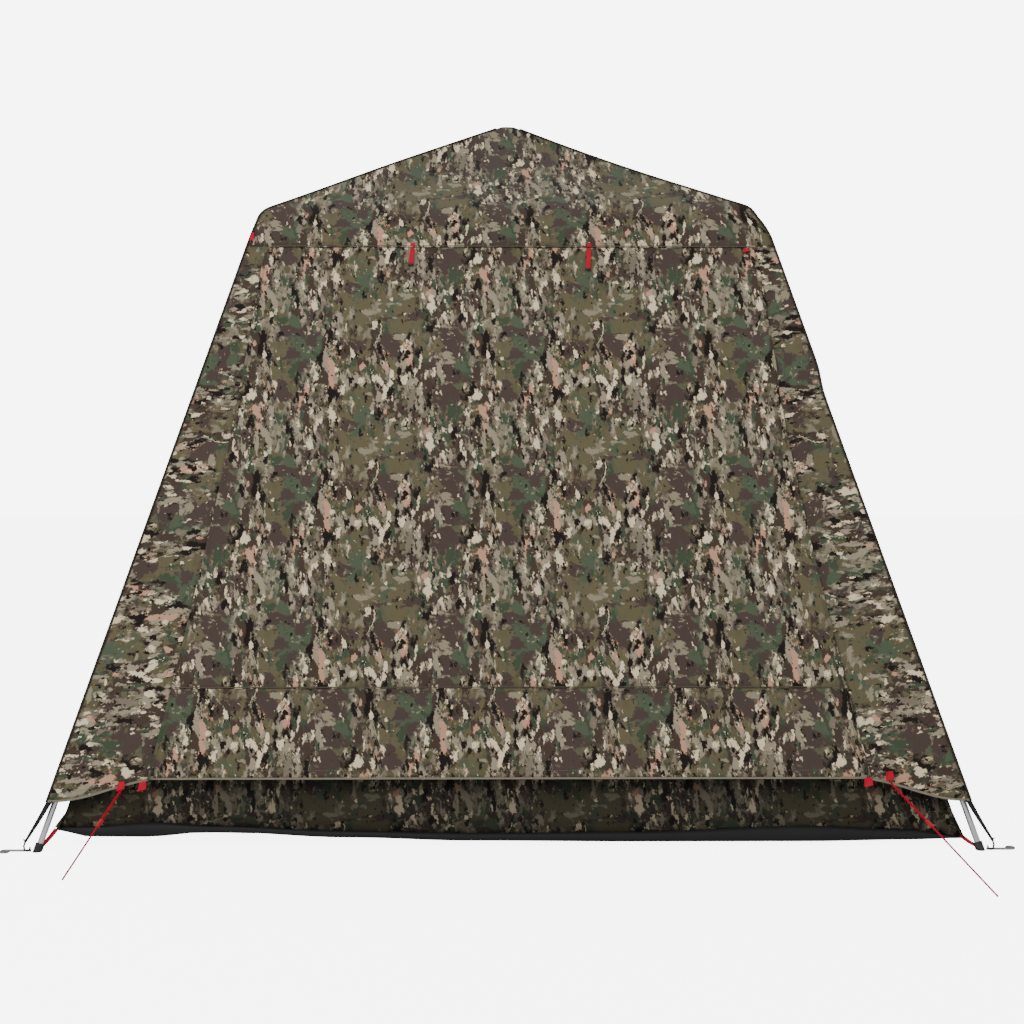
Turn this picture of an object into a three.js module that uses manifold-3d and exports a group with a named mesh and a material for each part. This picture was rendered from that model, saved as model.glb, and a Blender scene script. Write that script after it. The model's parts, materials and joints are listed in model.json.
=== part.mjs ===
// A pop-up hub tent: a square ground blind with a four-leg umbrella frame, an outer fly and an inner tent.
// Millimetres, +Z up. The origin is on the ground under the hub. The door faces -Y.
import * as THREE from 'three';
import { mergeVertices } from 'three/addons/utils/BufferGeometryUtils.js';
import Module from 'manifold-3d';

const wasm = await Module();
wasm.setup();

// Frame: every corner of the frame lies in one upright plane through a diagonal of the square.
const FOOT_HALF_SPAN = 1236; // half the distance between two neighbouring feet
const FOOT_R = FOOT_HALF_SPAN * Math.SQRT2; // from the centre to a foot along the diagonal
const HUB_PIVOT_R = 55;
const HUB_PIVOT_Z = 2130;
const ELBOW_PIVOT_R = 1005;
const ELBOW_PIVOT_Z = 1738;
const ELBOW_OFFSET = 15; // from the elbow's pin to the axis of each tube, so the tubes fold side by side
const HUB_RADIUS = 80;
const HUB_BELOW = 24; // the hub's body below its pins
const HUB_ABOVE = 18;
const HUB_DOME = 14;
const PIN_RADIUS = 4;
const PIN_HOLE_RADIUS = 4.3;
const HUB_PIN_LENGTH = 44;
const ELBOW_PIN_LENGTH = 27;
const TONGUE_THICKNESS = 12;
const SLOT_WIDTH = 12.6;
const ELBOW_HALF_WIDTH = 11.6;
const SOCKET = { start: -72, end: -16, radius: 13, bore: 9.8, floor: -20 }; // along the arm
const ARM_RADIUS = 9.5;
const ARM_BORE = 8.3;
const ARM_TUBE_START = 42;
const UPPER_LEG_RADIUS = 11;
const UPPER_LEG_BORE = 8.4;
const UPPER_LEG_START = 20;
const UPPER_LEG_END = 960;
const COLLAR_RADIUS = 14;
const LOWER_LEG_RADIUS = 8;
const LOWER_LEG_BORE = 6.8;
const LEG_OVERLAP = 200; // how far the lower leg reaches into the upper leg when it is pulled out
const FOOT_RADIUS = 11.5;
const FOOT_CUP = 22; // how far the foot's cup reaches up the lower leg
const TUBE_SIDES = 12;

// Cloth: four walls lean inwards at the slope of the legs.
const WALL_SLOPE = 0.2949; // inward millimetres per millimetre of height
const LEAN = Math.atan(WALL_SLOPE);
const CLOTH = 1.5;
const FLY_BASE = FOOT_HALF_SPAN + 16; // the inside of the fly, carried down to the ground
const INNER_BASE = FOOT_HALF_SPAN - 31; // the inside of the inner tent, carried down to the ground
const EDGE_GAP = 1;
const HEM_Z = 140;
const DOOR_HEM_Z = 180;
const EAVE_Z = 1652;
const WALL_TOP_Z = 1755;
const DOOR_TOP_HALF = 700;
const DOOR_HEM_HALF = 945;
const PANEL_GAP = 0.6;
const ROOF_PEAK_Z = 2197;
const ROOF_SLOPE = 0.574;
const ROOF_HALF = 744;
const INNER_TOP_Z = 1700;
const INNER_PEAK_Z = 2086;
const INNER_FLOOR_GAP = 8;
const DOORWAY_HALF_LOW = 520;
const DOORWAY_HALF_HIGH = 400;
const DOORWAY_SILL_Z = 220;
const DOORWAY_TOP_Z = 1420;
const FLOOR_HALF = INNER_BASE - 4;
const FLOOR_THICKNESS = 4;

// Fittings
const ZIP_PULL = { width: 12, length: 34, thickness: 6, clearance: 0.6 };
const CORD_RADIUS = 2;
const RUNNER = { width: 9, height: 7, length: 26 };
const PEG_RADIUS = 3.2;
const PEG_LENGTH = 66;
const PEG_LOOP_RADIUS = 10;
const PEG_BESIDE_FOOT = 16;

const tent = new THREE.Group();

const paint = (color, roughness, metalness) =>
  new THREE.MeshStandardMaterial({ color, roughness, metalness });
const FLY_CLOTH = paint(0x6b6255, 0.85, 0);
const INNER_CLOTH = paint(0x373028, 0.9, 0);
const FLOOR_CLOTH = paint(0x141414, 0.6, 0);
const TUBE_METAL = paint(0xb9bbbd, 0.35, 0.9);
const PLASTIC = paint(0x18181a, 0.5, 0);
const PIN_METAL = paint(0x8c8e90, 0.35, 1);
const ELASTIC = paint(0x1c1c1e, 0.8, 0);
const PEG_METAL = paint(0x3c3d40, 0.4, 0.9);
const RED_CORD = paint(0xa3202c, 0.75, 0);
const RED_PLASTIC = paint(0xb01e2a, 0.45, 0);

function solid(geometry) {
  const plain = geometry.clone();
  plain.deleteAttribute('normal');
  plain.deleteAttribute('uv');
  const merged = mergeVertices(plain, 1e-4);
  const mesh = new wasm.Mesh({
    numProp: 3,
    vertProperties: new Float32Array(merged.attributes.position.array),
    triVerts: new Uint32Array(merged.index.array),
  });
  return new wasm.Manifold(mesh);
}

function geometryOf(body) {
  const mesh = body.getMesh();
  const geometry = new THREE.BufferGeometry();
  geometry.setAttribute('position', new THREE.BufferAttribute(new Float32Array(mesh.vertProperties), 3));
  geometry.setIndex(new THREE.BufferAttribute(new Uint32Array(mesh.triVerts), 1));
  geometry.computeVertexNormals();
  return geometry;
}

function add(parent, name, geometry, material) {
  const mesh = new THREE.Mesh(geometry, material);
  mesh.name = name;
  parent.add(mesh);
  return mesh;
}

function polygon(points) {
  return new THREE.Shape(points.map(([x, y]) => new THREE.Vector2(x, y)));
}

function circle(radius, x = 0, y = 0, sides = TUBE_SIDES) {
  const points = [];
  for (let i = 0; i < sides; i += 1) {
    const turn = (2 * Math.PI * i) / sides;
    points.push([x + radius * Math.cos(turn), y + radius * Math.sin(turn)]);
  }
  return points;
}

// A flat piece drawn in (x, z), with its thickness centred on y = 0.
function flat(points, thickness, holes = []) {
  const shape = polygon(points);
  for (const hole of holes) shape.holes.push(polygon(hole));
  const geometry = new THREE.ExtrudeGeometry(shape, { depth: thickness, bevelEnabled: false });
  geometry.translate(0, 0, -thickness / 2);
  geometry.rotateX(Math.PI / 2);
  return geometry;
}

// A round bar or tube along x from one station to the other.
function bar(start, end, radius, bore = 0, sides = TUBE_SIDES) {
  const shape = polygon(circle(radius, 0, 0, sides));
  if (bore > 0) shape.holes.push(polygon(circle(bore, 0, 0, sides)));
  const geometry = new THREE.ExtrudeGeometry(shape, { depth: end - start, bevelEnabled: false });
  geometry.rotateY(Math.PI / 2);
  geometry.translate(start, 0, 0);
  return geometry;
}

// A round pin across the diagonal plane, along y.
function crossPin(radius, length, x = 0, z = 0) {
  const geometry = new THREE.CylinderGeometry(radius, radius, length, TUBE_SIDES);
  geometry.translate(x, 0, z);
  return geometry;
}

// ---- The frame's side view: where the arm and the leg run ----
const armReach = Math.hypot(ELBOW_PIVOT_R - HUB_PIVOT_R, ELBOW_PIVOT_Z - HUB_PIVOT_Z);
const armLength = Math.sqrt(armReach ** 2 - ELBOW_OFFSET ** 2);
const armAngle =
  Math.atan2(ELBOW_PIVOT_Z - HUB_PIVOT_Z, ELBOW_PIVOT_R - HUB_PIVOT_R) + Math.asin(ELBOW_OFFSET / armReach);
const legReach = Math.hypot(FOOT_R - ELBOW_PIVOT_R, ELBOW_PIVOT_Z);
const legLength = Math.sqrt(legReach ** 2 - ELBOW_OFFSET ** 2);
const legAngle =
  Math.atan2(-ELBOW_PIVOT_Z, FOOT_R - ELBOW_PIVOT_R) - Math.asin(ELBOW_OFFSET / legReach);
const legTop = new THREE.Vector3(
  ELBOW_PIVOT_R - ELBOW_OFFSET * Math.sin(legAngle),
  0,
  ELBOW_PIVOT_Z + ELBOW_OFFSET * Math.cos(legAngle),
);

// ---- Hub: a moulded disc with a slot for each arm ----
const hubProfile = [
  [0, -HUB_BELOW],
  [HUB_RADIUS - 12, -HUB_BELOW],
  [HUB_RADIUS, -HUB_BELOW + 10],
  [HUB_RADIUS, HUB_ABOVE - 6],
  [HUB_RADIUS - 6, HUB_ABOVE],
  [34, HUB_ABOVE],
  [24, HUB_ABOVE + HUB_DOME - 4],
  [0, HUB_ABOVE + HUB_DOME],
].map(([x, y]) => new THREE.Vector2(x, y));
const hubTurned = new THREE.LatheGeometry(hubProfile, 24);
hubTurned.rotateX(Math.PI / 2);
let hub = solid(hubTurned);
const cornerNames = ['back_right', 'back_left', 'front_left', 'front_right'];
const diagonal = (index) => Math.PI / 4 + (index * Math.PI) / 2;
cornerNames.forEach((_, index) => {
  const slot = new THREE.BoxGeometry(80, SLOT_WIDTH, 120);
  slot.translate(76, 0, 0);
  slot.rotateZ(diagonal(index));
  const hole = crossPin(PIN_HOLE_RADIUS, HUB_PIN_LENGTH + 1, HUB_PIVOT_R);
  hole.rotateZ(diagonal(index));
  hub = hub.subtract(solid(slot)).subtract(solid(hole));
});
add(tent, 'hub_body', geometryOf(hub), PLASTIC).position.z = HUB_PIVOT_Z;

// ---- One corner of the frame ----
function tongue(points) {
  return solid(flat(points, TONGUE_THICKNESS));
}

function armGeometry() {
  const plate = tongue([
    [-8, -8], [0, -11], [62, -7.5], [62, 7.5], [0, 11], [-8, 8], [-11, 0],
  ]);
  const tube = solid(bar(ARM_TUBE_START, armLength - 22, ARM_RADIUS, ARM_BORE));
  const hole = solid(crossPin(PIN_HOLE_RADIUS, 2 * TONGUE_THICKNESS));
  return geometryOf(plate.subtract(hole).add(tube));
}

function elbowGeometry() {
  const bore = solid(bar(SOCKET.start - 1, SOCKET.floor, SOCKET.bore));
  const outline = [
    [-44, -11], [-18, -18], [-6, -26.5], [6, -26.5], [13, -20], [14, -4], [2, 11], [-44, 11],
  ];
  const cheek = (SLOT_WIDTH / 2 + ELBOW_HALF_WIDTH) / 2;
  const thickness = ELBOW_HALF_WIDTH - SLOT_WIDTH / 2;
  let knuckle = solid(bar(SOCKET.start, SOCKET.end, SOCKET.radius));
  for (const side of [-1, 1]) {
    const plate = flat(outline, thickness);
    plate.translate(0, side * cheek, 0);
    knuckle = knuckle.add(solid(plate));
  }
  const hole = solid(crossPin(PIN_HOLE_RADIUS, 4 * ELBOW_HALF_WIDTH, 0, -ELBOW_OFFSET));
  return geometryOf(knuckle.subtract(bore).subtract(hole));
}

function upperLegGeometry() {
  const plate = tongue([
    [-10.5, -15], [-7, -23], [0, -26], [8, -24], [20, -9], [44, -6], [44, 6], [20, 9], [6, 2], [-5, -5.5],
  ]);
  const tube = solid(bar(UPPER_LEG_START, UPPER_LEG_END, UPPER_LEG_RADIUS, UPPER_LEG_BORE));
  const collar = solid(bar(UPPER_LEG_END - 44, UPPER_LEG_END + 6, COLLAR_RADIUS, UPPER_LEG_BORE));
  const hole = solid(crossPin(PIN_HOLE_RADIUS, 2 * TONGUE_THICKNESS, 0, -ELBOW_OFFSET));
  return geometryOf(plate.subtract(hole).add(tube).add(collar));
}

const legMatrix = new THREE.Matrix4()
  .makeTranslation(legTop.x, legTop.y, legTop.z)
  .multiply(new THREE.Matrix4().makeRotationY(-legAngle));

function footGeometry() {
  const cup = bar(legLength - FOOT_CUP, legLength + 14, FOOT_RADIUS);
  const bore = bar(legLength - FOOT_CUP - 1, legLength - 6, LOWER_LEG_RADIUS + 0.3);
  cup.applyMatrix4(legMatrix);
  bore.applyMatrix4(legMatrix);
  const above = new THREE.BoxGeometry(400, 400, 400);
  above.translate(FOOT_R, 0, 200);
  return geometryOf(solid(cup).subtract(solid(bore)).intersect(solid(above)));
}

// The elastic strap hangs from the fly's corner and ends in a small hook beside the foot.
function strapGeometry() {
  return flat(
    [
      [1709, 121], [1725, 121], [1790, 30], [1790, 16], [1784, 8], [1772, 6], [1768, 10],
      [1772, 13], [1780, 14], [1783, 20], [1780, 30],
    ],
    2.4,
  );
}

cornerNames.forEach((corner, index) => {
  const plane = new THREE.Group();
  plane.rotation.z = diagonal(index);
  tent.add(plane);

  const armGroup = new THREE.Group();
  armGroup.position.set(HUB_PIVOT_R, 0, HUB_PIVOT_Z);
  armGroup.rotation.y = -armAngle;
  plane.add(armGroup);
  add(armGroup, `hub_pin_${corner}`, crossPin(PIN_RADIUS, HUB_PIN_LENGTH), PIN_METAL);
  add(armGroup, `roof_arm_${corner}`, armGeometry(), TUBE_METAL);
  add(armGroup, `elbow_${corner}`, elbowGeometry(), PLASTIC).position.x = armLength;
  add(armGroup, `elbow_pin_${corner}`, crossPin(PIN_RADIUS, ELBOW_PIN_LENGTH), PIN_METAL)
    .position.set(armLength, 0, -ELBOW_OFFSET);

  const legGroup = new THREE.Group();
  legGroup.position.copy(legTop);
  legGroup.rotation.y = -legAngle;
  plane.add(legGroup);
  add(legGroup, `upper_leg_${corner}`, upperLegGeometry(), TUBE_METAL);
  const lowerStart = UPPER_LEG_END - LEG_OVERLAP;
  const lower = bar(lowerStart, legLength - 6.5, LOWER_LEG_RADIUS, LOWER_LEG_BORE);
  add(legGroup, `lower_leg_${corner}`, lower, TUBE_METAL);

  add(plane, `foot_${corner}`, footGeometry(), PLASTIC);
  add(plane, `corner_strap_${corner}`, strapGeometry(), ELASTIC);
});

// ---- Cloth: each wall is drawn in its own plane, u along the wall and z as a height ----
function slopePlate(points, thickness, holes = []) {
  const rise = (list) => list.map(([u, z]) => [u, z / Math.cos(LEAN)]);
  const shape = polygon(rise(points));
  for (const hole of holes) shape.holes.push(polygon(rise(hole)));
  return new THREE.ExtrudeGeometry(shape, { depth: thickness, bevelEnabled: false });
}

// The wall's plane: x runs along the wall, y up its slope and z out of it.
function wallGroup(turn, base) {
  const around = new THREE.Group();
  around.rotation.z = turn;
  tent.add(around);
  const plane = new THREE.Group();
  plane.position.set(0, -base, 0);
  const up = new THREE.Vector3(0, Math.sin(LEAN), Math.cos(LEAN));
  const out = new THREE.Vector3(0, -Math.cos(LEAN), Math.sin(LEAN));
  plane.quaternion.setFromRotationMatrix(
    new THREE.Matrix4().makeBasis(new THREE.Vector3(1, 0, 0), up, out),
  );
  around.add(plane);
  return plane;
}

const flyHalf = (z) => FLY_BASE - WALL_SLOPE * z - EDGE_GAP;
const innerHalf = (z) => INNER_BASE - WALL_SLOPE * z - EDGE_GAP;
const quarter = { front: 0, right: Math.PI / 2, back: Math.PI, left: -Math.PI / 2 };

for (const side of ['right', 'back', 'left']) {
  const wall = slopePlate(
    [
      [-flyHalf(HEM_Z), HEM_Z], [flyHalf(HEM_Z), HEM_Z],
      [flyHalf(WALL_TOP_Z), WALL_TOP_Z], [-flyHalf(WALL_TOP_Z), WALL_TOP_Z],
    ],
    CLOTH,
  );
  add(wallGroup(quarter[side], FLY_BASE), `fly_wall_${side}`, wall, FLY_CLOTH);
}

const front = wallGroup(quarter.front, FLY_BASE);
const band = [
  [-flyHalf(EAVE_Z + PANEL_GAP), EAVE_Z + PANEL_GAP], [flyHalf(EAVE_Z + PANEL_GAP), EAVE_Z + PANEL_GAP],
  [flyHalf(WALL_TOP_Z), WALL_TOP_Z], [-flyHalf(WALL_TOP_Z), WALL_TOP_Z],
];
add(front, 'fly_eave_band', slopePlate(band, CLOTH), FLY_CLOTH);
const door = [
  [-DOOR_HEM_HALF, DOOR_HEM_Z], [DOOR_HEM_HALF, DOOR_HEM_Z],
  [DOOR_TOP_HALF, EAVE_Z - PANEL_GAP], [-DOOR_TOP_HALF, EAVE_Z - PANEL_GAP],
];
add(front, 'fly_door', slopePlate(door, CLOTH), FLY_CLOTH);
const gusset = [
  [DOOR_HEM_HALF + 2 * PANEL_GAP, DOOR_HEM_Z - 4], [flyHalf(HEM_Z - 12), HEM_Z - 12],
  [flyHalf(EAVE_Z - PANEL_GAP), EAVE_Z - PANEL_GAP], [DOOR_TOP_HALF + 2 * PANEL_GAP, EAVE_Z - PANEL_GAP],
];
add(front, 'fly_gusset_right', slopePlate(gusset, CLOTH), FLY_CLOTH);
const gussetMirrored = gusset.map(([u, z]) => [-u, z]).reverse();
add(front, 'fly_gusset_left', slopePlate(gussetMirrored, CLOTH), FLY_CLOTH);

// The roof: four triangles whose hips lie over the arms.
const roofLean = Math.atan(ROOF_SLOPE);
const roofStart = 6;
for (const side of Object.keys(quarter)) {
  const along = (reach) => -reach / Math.cos(roofLean);
  const half = (reach) => reach - EDGE_GAP;
  const shape = polygon([
    [-half(ROOF_HALF), along(ROOF_HALF)], [half(ROOF_HALF), along(ROOF_HALF)],
    [half(roofStart), along(roofStart)], [-half(roofStart), along(roofStart)],
  ]);
  const panel = new THREE.ExtrudeGeometry(shape, { depth: CLOTH, bevelEnabled: false });
  const around = new THREE.Group();
  around.rotation.z = quarter[side];
  tent.add(around);
  const plane = new THREE.Group();
  plane.position.set(0, 0, ROOF_PEAK_Z);
  plane.rotation.x = roofLean;
  around.add(plane);
  add(plane, `fly_roof_${side}`, panel, FLY_CLOTH);
}

// ---- Inner tent and its floor ----
const innerFoot = INNER_FLOOR_GAP;
const innerOutline = [
  [-innerHalf(innerFoot), innerFoot], [innerHalf(innerFoot), innerFoot],
  [innerHalf(INNER_TOP_Z), INNER_TOP_Z], [-innerHalf(INNER_TOP_Z), INNER_TOP_Z],
];
for (const side of ['right', 'back', 'left']) {
  const wall = slopePlate(innerOutline, CLOTH);
  add(wallGroup(quarter[side], INNER_BASE), `inner_wall_${side}`, wall, INNER_CLOTH);
}
const doorway = [
  [-DOORWAY_HALF_LOW, DOORWAY_SILL_Z], [DOORWAY_HALF_LOW, DOORWAY_SILL_Z],
  [DOORWAY_HALF_HIGH, DOORWAY_TOP_Z], [-DOORWAY_HALF_HIGH, DOORWAY_TOP_Z],
];
const innerFront = slopePlate(innerOutline, CLOTH, [doorway]);
add(wallGroup(quarter.front, INNER_BASE), 'inner_wall_front', innerFront, INNER_CLOTH);

const innerRoofHalf = innerHalf(INNER_TOP_Z) * Math.SQRT2;
const innerRoofProfile = [
  [0, INNER_PEAK_Z - 4], [innerRoofHalf - 8, INNER_TOP_Z + 6], [innerRoofHalf, INNER_TOP_Z + 6],
  [0, INNER_PEAK_Z],
].map(([x, y]) => new THREE.Vector2(x, y));
const innerRoof = new THREE.LatheGeometry(innerRoofProfile, 4, Math.PI / 4);
innerRoof.rotateX(Math.PI / 2);
add(tent, 'inner_roof', geometryOf(solid(innerRoof)), INNER_CLOTH);

const floor = new THREE.BoxGeometry(2 * FLOOR_HALF, 2 * FLOOR_HALF, FLOOR_THICKNESS);
add(tent, 'floor_sheet', floor, FLOOR_CLOTH).position.z = FLOOR_THICKNESS / 2;

// ---- Zip pulls: one at the foot of each side seam of the door ----
for (const [side, sign] of [['left', -1], ['right', 1]]) {
  const rise = (EAVE_Z - DOOR_HEM_Z) / Math.cos(LEAN);
  const tilt = Math.atan2(sign * (DOOR_HEM_HALF - DOOR_TOP_HALF), rise);
  const pull = new THREE.BoxGeometry(ZIP_PULL.width, ZIP_PULL.length, ZIP_PULL.thickness);
  const mesh = add(front, `zip_pull_${side}`, pull, RED_CORD);
  mesh.position.set(
    sign * (DOOR_HEM_HALF + PANEL_GAP - 4),
    DOOR_HEM_Z / Math.cos(LEAN) + 20,
    CLOTH + ZIP_PULL.clearance + ZIP_PULL.thickness / 2,
  );
  mesh.rotation.z = tilt;
}

// ---- Guy lines: a cord from each front hem loop to the ground, with a runner on it ----
const guys = [
  { side: 'left', from: [-1018, -1222, 160], to: [-1087, -1495, 5], tail: [-1088, -1499, 2.8] },
  { side: 'right', from: [1000, -1222, 178], to: [1133, -1645, 5], tail: [1134.4, -1649.5, 3.2] },
];
for (const guy of guys) {
  const from = new THREE.Vector3(...guy.from);
  const to = new THREE.Vector3(...guy.to);
  const at = (share) => new THREE.Vector3().lerpVectors(from, to, share);
  const points = [from, at(0.25), at(0.5), at(0.75), to, new THREE.Vector3(...guy.tail)];
  const path = new THREE.CatmullRomCurve3(points, false, 'centripetal');
  const section = polygon(circle(CORD_RADIUS, 0, 0, 8));
  const cord = new THREE.ExtrudeGeometry(section, { steps: 40, extrudePath: path, bevelEnabled: false });
  add(tent, `guy_line_${guy.side}`, cord, RED_CORD);

  const outline = polygon([
    [-RUNNER.width / 2, -RUNNER.height / 2], [RUNNER.width / 2, -RUNNER.height / 2],
    [RUNNER.width / 2, RUNNER.height / 2], [-RUNNER.width / 2, RUNNER.height / 2],
  ]);
  outline.holes.push(polygon(circle(CORD_RADIUS + 0.6, 0, 0, 8)));
  const runner = new THREE.ExtrudeGeometry(outline, { depth: RUNNER.length, bevelEnabled: false });
  runner.translate(0, 0, -RUNNER.length / 2);
  const mesh = add(tent, `guy_runner_${guy.side}`, runner, RED_PLASTIC);
  mesh.position.copy(at(0.4));
  mesh.quaternion.setFromUnitVectors(new THREE.Vector3(0, 0, 1), to.clone().sub(from).normalize());
}

// ---- Corner pegs: each lies on the ground beside its foot, with an eye at its outer end ----
class PegCurve extends THREE.Curve {
  getPoint(t, target = new THREE.Vector3()) {
    const sweep = (280 / 180) * Math.PI;
    const total = PEG_LENGTH + sweep * PEG_LOOP_RADIUS;
    const travelled = t * total;
    if (travelled <= PEG_LENGTH) return target.set(travelled, 0, 0);
    const turn = (travelled - PEG_LENGTH) / PEG_LOOP_RADIUS - Math.PI / 2;
    return target.set(
      PEG_LENGTH + PEG_LOOP_RADIUS * Math.cos(turn),
      PEG_LOOP_RADIUS + PEG_LOOP_RADIUS * Math.sin(turn),
      0,
    );
  }
}
cornerNames.forEach((corner, index) => {
  const section = polygon(circle(PEG_RADIUS, 0, 0, 8));
  const peg = new THREE.ExtrudeGeometry(section, {
    steps: 30,
    extrudePath: new PegCurve(),
    bevelEnabled: false,
  });
  const right = Math.cos(diagonal(index)) > 0;
  const back = Math.sin(diagonal(index)) > 0;
  const mesh = add(tent, `corner_peg_${corner}`, peg, PEG_METAL);
  mesh.position.set(
    (right ? 1 : -1) * (FOOT_HALF_SPAN + PEG_BESIDE_FOOT),
    (back ? 1 : -1) * FOOT_HALF_SPAN,
    PEG_RADIUS + 0.1,
  );
  mesh.rotation.z = right ? 0 : Math.PI;
});

export default tent;
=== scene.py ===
import json
import math

import bpy
from mathutils import Matrix, Vector, noise

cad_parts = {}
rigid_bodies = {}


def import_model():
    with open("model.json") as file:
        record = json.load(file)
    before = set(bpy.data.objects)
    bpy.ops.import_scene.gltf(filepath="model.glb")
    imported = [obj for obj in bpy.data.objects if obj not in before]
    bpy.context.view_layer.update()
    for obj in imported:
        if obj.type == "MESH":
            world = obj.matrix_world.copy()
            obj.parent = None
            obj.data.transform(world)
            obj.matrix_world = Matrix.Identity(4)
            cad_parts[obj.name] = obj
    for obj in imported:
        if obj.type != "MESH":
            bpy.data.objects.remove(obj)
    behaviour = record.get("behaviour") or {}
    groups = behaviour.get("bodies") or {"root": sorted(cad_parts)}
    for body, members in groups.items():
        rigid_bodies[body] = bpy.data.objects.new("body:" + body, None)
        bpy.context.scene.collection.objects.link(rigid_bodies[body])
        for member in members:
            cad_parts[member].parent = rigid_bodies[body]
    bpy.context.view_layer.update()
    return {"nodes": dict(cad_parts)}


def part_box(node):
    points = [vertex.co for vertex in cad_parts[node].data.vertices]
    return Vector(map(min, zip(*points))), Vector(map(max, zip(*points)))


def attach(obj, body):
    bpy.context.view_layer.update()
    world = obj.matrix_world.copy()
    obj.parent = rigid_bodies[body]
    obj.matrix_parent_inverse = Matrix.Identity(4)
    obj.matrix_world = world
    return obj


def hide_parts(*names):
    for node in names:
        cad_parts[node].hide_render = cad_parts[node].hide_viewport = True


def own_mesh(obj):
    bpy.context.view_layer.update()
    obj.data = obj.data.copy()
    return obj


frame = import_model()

# ---- Sizes shared with the frame, in metres ----
SLOPE = 0.2949            # how far a wall comes in for each metre of height
FLY_BASE = 1.2536         # half the fly's width, carried down to the ground
INNER_BASE = 1.2055       # the same for the inner tent
ROOF_TOP = 2.199
SHOULDER_Z = 1.774
SHOULDER_HALF = FLY_BASE - SLOPE * SHOULDER_Z
ROOF_SLOPE = (ROOF_TOP - SHOULDER_Z) / SHOULDER_HALF
ROOF_RUN = math.hypot(SHOULDER_HALF, ROOF_TOP - SHOULDER_Z)
WALL_STRETCH = math.hypot(1, SLOPE)   # cloth length for each metre of height
EAVE_Z = 1.652
EAVE_RUN = ROOF_RUN + (SHOULDER_Z - EAVE_Z) * WALL_STRETCH
HEM_CORNER_Z = 0.125
DOOR_HEM_Z = 0.18
SEAM_Z = 0.41
CREASE_TOP = 0.70
CREASE_FOOT = 0.945
INNER_TOP_Z = 1.70
INNER_PEAK_Z = 2.088
FLOOR_HALF = 1.201
SIDES = ("front", "right", "back", "left")
TURN = {name: Matrix.Rotation(index * math.pi / 2, 3, "Z") for index, name in enumerate(SIDES)}
CORNERS = {"back_right": 45, "back_left": 135, "front_left": 225, "front_right": 315}
CLOTH = 0.0010            # thickness of the fly
THIN_CLOTH = 0.0008       # thickness of the inner tent


def smooth(x):
    x = min(max(x, 0.0), 1.0)
    return x * x * (3 - 2 * x)


def mix(a, b, t):
    return a + (b - a) * t


def new_object(name, data):
    made = bpy.data.objects.new(name, data)
    bpy.context.collection.objects.link(made)
    return made


# ================= Camera, floor and light =================
# The camera's place was solved from the feet, the hem's corners, the shoulders and the top of the tent
CAMERA_LENS = 48.9
CAMERA_PLACE = (-0.02, -4.858, 0.982)
CAMERA_DOWN = 1.48        # degrees that it looks below level
CAMERA_RIGHT = 0.4        # and to the right


def add_camera():
    data = bpy.data.cameras.new("camera")
    data.lens = CAMERA_LENS
    data.sensor_width = 36
    camera = new_object("camera", data)
    camera.location = CAMERA_PLACE
    camera.rotation_euler = (math.radians(90 - CAMERA_DOWN), 0, math.radians(-CAMERA_RIGHT))
    bpy.context.scene.camera = camera


STUDIO_LIGHT = 0.66       # what the studio's walls give the object
STUDIO_WHITE = 7.0        # how bright the backdrop itself is exposed


def show_white(tree, socket, lit, shown):
    """The studio's backdrop is exposed to white while it lights the object softly."""
    path = tree.nodes.new("ShaderNodeLightPath")
    level = tree.nodes.new("ShaderNodeMath")
    level.operation = "MULTIPLY_ADD"
    tree.links.new(path.outputs["Is Camera Ray"], level.inputs[0])
    level.inputs[1].default_value = shown - lit
    level.inputs[2].default_value = lit
    tree.links.new(level.outputs[0], socket)


FLOOR_REACH = 30


def add_floor():
    mesh = bpy.data.meshes.new("studio_floor")
    corners = [(x * FLOOR_REACH, y * FLOOR_REACH, 0) for x, y in ((-1, -1), (1, -1), (1, 1), (-1, 1))]
    mesh.from_pydata(corners, [], [(0, 1, 2, 3)])
    floor = new_object("studio_floor", mesh)
    material = bpy.data.materials.new("studio_floor")
    material.use_nodes = True
    shader = material.node_tree.nodes["Principled BSDF"]
    shader.inputs["Base Color"].default_value = (0.86, 0.86, 0.86, 1)
    shader.inputs["Roughness"].default_value = 0.9
    shader.inputs["Specular IOR Level"].default_value = 0.0
    shader.inputs["Emission Color"].default_value = (1, 1, 1, 1)
    show_white(material.node_tree, shader.inputs["Emission Strength"], 0.0, STUDIO_WHITE - 1)
    mesh.materials.append(material)


def add_area_light(name, location, size, power):
    data = bpy.data.lights.new(name, "AREA")
    data.shape = "RECTANGLE"
    data.size, data.size_y = size
    data.energy = power
    light = new_object(name, data)
    light.location = location
    aim = Vector((0, 0, 1.0)) - Vector(location)
    light.rotation_euler = aim.to_track_quat("-Z", "Y").to_euler()


def add_light():
    world = bpy.data.worlds.new("studio")
    bpy.context.scene.world = world
    world.use_nodes = True
    background = world.node_tree.nodes["Background"]
    background.inputs["Color"].default_value = (1, 1, 1, 1)
    show_white(world.node_tree, background.inputs["Strength"], STUDIO_LIGHT, STUDIO_WHITE)
    add_area_light("key_light", (-3.5, -5.5, 5.0), (4.0, 3.0), 215)
    add_area_light("fill_light", (4.5, -4.5, 3.0), (3.0, 3.0), 45)


add_camera()
add_floor()
add_light()


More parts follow.
